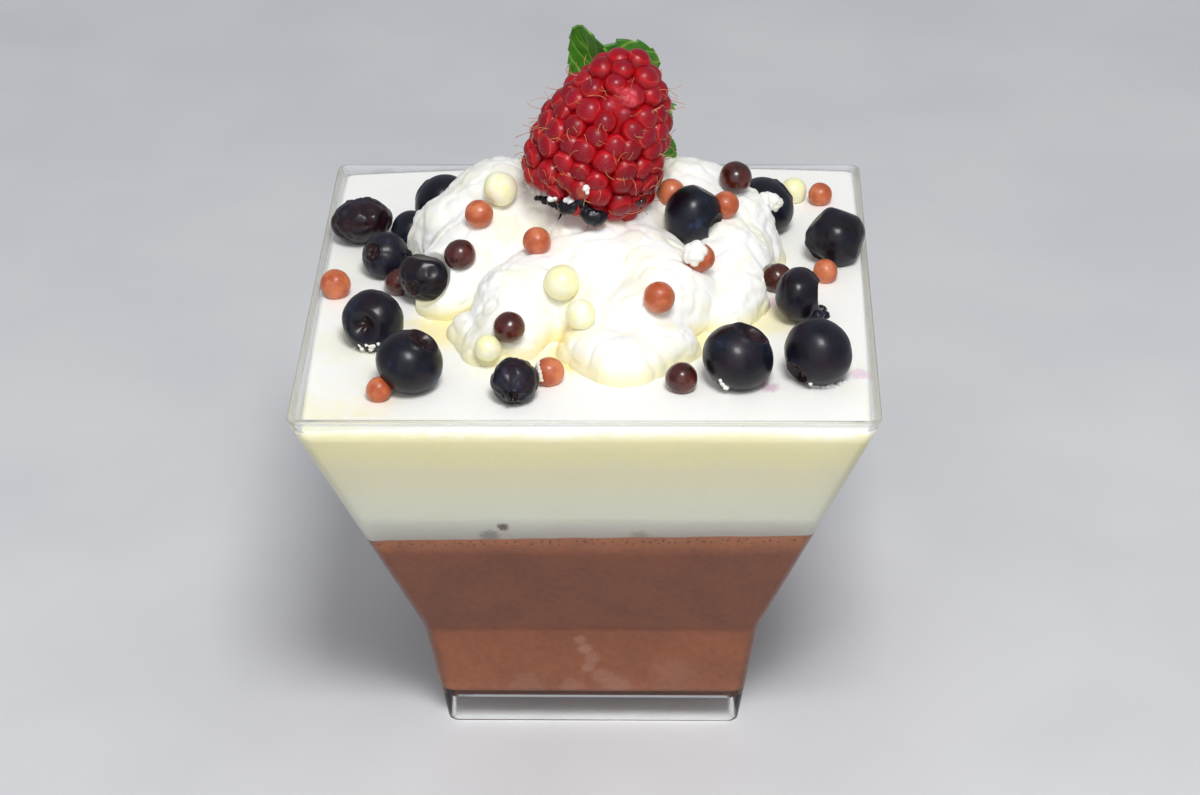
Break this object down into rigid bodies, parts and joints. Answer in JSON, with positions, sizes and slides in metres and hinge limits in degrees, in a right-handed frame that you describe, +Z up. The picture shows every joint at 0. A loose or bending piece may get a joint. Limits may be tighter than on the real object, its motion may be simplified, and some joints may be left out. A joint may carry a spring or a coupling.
{
  "type": "layered mousse in a square cup",
  "caption": "Square flared clear cup of chocolate and vanilla mousse, topped with whipped cream, blueberries, chocolate pearls, a raspberry and mint leaves.",
  "frame": {"origin": "middle of the foot's underside, on the surface that the cup stands on", "axes": "+Z up; +X to the right and -Y towards the viewer, as in the picture"},
  "size_m": [0.08, 0.08, 0.0954],
  "materials": {
    "clear_plastic": "clear, glossy moulded plastic",
    "chocolate_mousse": "soft matte mousse with fine bubbles",
    "vanilla_mousse": "pale yellow, smooth and slightly moist",
    "whipped_cream": "white, soft satin",
    "raspberry_skin": "crimson, moist and translucent",
    "leaf_green": "fresh green, satin",
    "blueberry_skin": "near-black navy, glossy with a thin bloom",
    "milk_pearl": "orange-brown, satin sugar shell",
    "dark_pearl": "dark brown, glossy sugar shell",
    "white_pearl": "pale yellow, satin sugar shell"
  },
  "bodies": {
    "root": {"cup": "clear_plastic", "chocolate_mousse": "chocolate_mousse", "vanilla_mousse": "vanilla_mousse", "whipped_cream": "whipped_cream", "raspberry": "raspberry_skin", "leaf_left": "leaf_green", "leaf_back": "leaf_green", "leaf_right": "leaf_green", "blueberry_01": "blueberry_skin", "blueberry_02": "blueberry_skin", "blueberry_03": "blueberry_skin", "blueberry_04": "blueberry_skin", "blueberry_05": "blueberry_skin", "blueberry_06": "blueberry_skin", "blueberry_07": "blueberry_skin", "blueberry_08": "blueberry_skin", "blueberry_09": "blueberry_skin", "blueberry_10": "blueberry_skin", "blueberry_11": "blueberry_skin", "blueberry_12": "blueberry_skin", "blueberry_13": "blueberry_skin", "blueberry_14": "blueberry_skin", "blueberry_15": "blueberry_skin", "blueberry_16": "blueberry_skin"}
  },
  "joints": []
}
